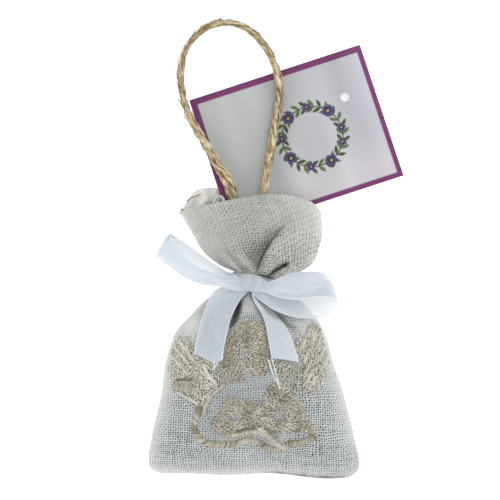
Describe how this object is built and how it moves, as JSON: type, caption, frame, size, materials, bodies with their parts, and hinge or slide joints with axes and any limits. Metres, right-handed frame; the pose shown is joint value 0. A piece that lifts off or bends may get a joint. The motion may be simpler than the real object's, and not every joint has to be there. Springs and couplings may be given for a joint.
{
  "type": "lavender sachet",
  "caption": "Small linen bag of dried lavender tied at the neck with a ribbon bow, with an embroidered front, a jute hanging loop and a bordered card tucked in its mouth.",
  "frame": {"origin": "on the surface that the bag lies on, in the middle of the flat patch of its back", "axes": "+X to the right seen from the front, +Y from the bottom seam towards the mouth and the hanging loop, +Z out of the embroidered front"},
  "size_m": [0.0793, 0.1434, 0.0251],
  "materials": {
    "linen": "open plain weave, matt",
    "dried_flowers": "loose dried flower buds, matt",
    "embroidery_thread": "satin stitch",
    "ribbon": "sheer satin ribbon with woven edges",
    "jute": "twisted plant fibre, matt",
    "card": "glossy printed card"
  },
  "bodies": {
    "sachet": {"front_panel": "linen", "back_panel": "linen", "front_hem": "linen", "back_hem": "linen", "lavender_filling": "dried_flowers", "embroidery_wing_left": "embroidery_thread", "embroidery_wing_right": "embroidery_thread", "embroidery_bodice": "embroidery_thread", "embroidery_skirt": "embroidery_thread", "embroidery_sash": "embroidery_thread", "embroidery_outline": "embroidery_thread", "ribbon_neck_wrap": "ribbon", "ribbon_knot": "ribbon", "loop_end_left": "jute", "loop_end_right": "jute"},
    "hanging_loop": {"hanging_loop": "jute"},
    "card": {"tag_card": "card"},
    "bow_loop_left": {"ribbon_loop_left": "ribbon"},
    "bow_loop_right": {"ribbon_loop_right": "ribbon"},
    "bow_tail_left": {"ribbon_tail_left": "ribbon"},
    "bow_tail_right": {"ribbon_tail_right": "ribbon"}
  },
  "joints": [
    {"name": "loop_swing", "type": "hinge", "parent": "sachet", "child": "hanging_loop", "pos_m": [-0.00122, 0.06455, 0.009], "axis": [0.9939, 0.1099, 0], "range_deg": [0, 90]},
    {"name": "card_pull", "type": "slide", "parent": "sachet", "child": "card", "axis": [0.9505, 0.3107, 0], "range_m": [0, 0.04]},
    {"name": "bow_loop_left_lift", "type": "hinge", "parent": "sachet", "child": "bow_loop_left", "pos_m": [-0.00465, 0.0362, 0.0193], "axis": [0.4572, 0.8894, 0], "range_deg": [0, 35]},
    {"name": "bow_loop_right_lift", "type": "hinge", "parent": "sachet", "child": "bow_loop_right", "pos_m": [0.004, 0.0358, 0.0195], "axis": [-0.08, -0.9968, 0], "range_deg": [0, 35]},
    {"name": "bow_tail_left_lift", "type": "hinge", "parent": "sachet", "child": "bow_tail_left", "pos_m": [-0.0026, 0.0316, 0.0178], "axis": [-0.8658, 0.5004, 0], "range_deg": [0, 45]},
    {"name": "bow_tail_right_lift", "type": "hinge", "parent": "sachet", "child": "bow_tail_right", "pos_m": [0.0014, 0.0315, 0.0178], "axis": [-0.904, -0.4275, 0], "range_deg": [0, 45]}
  ]
}
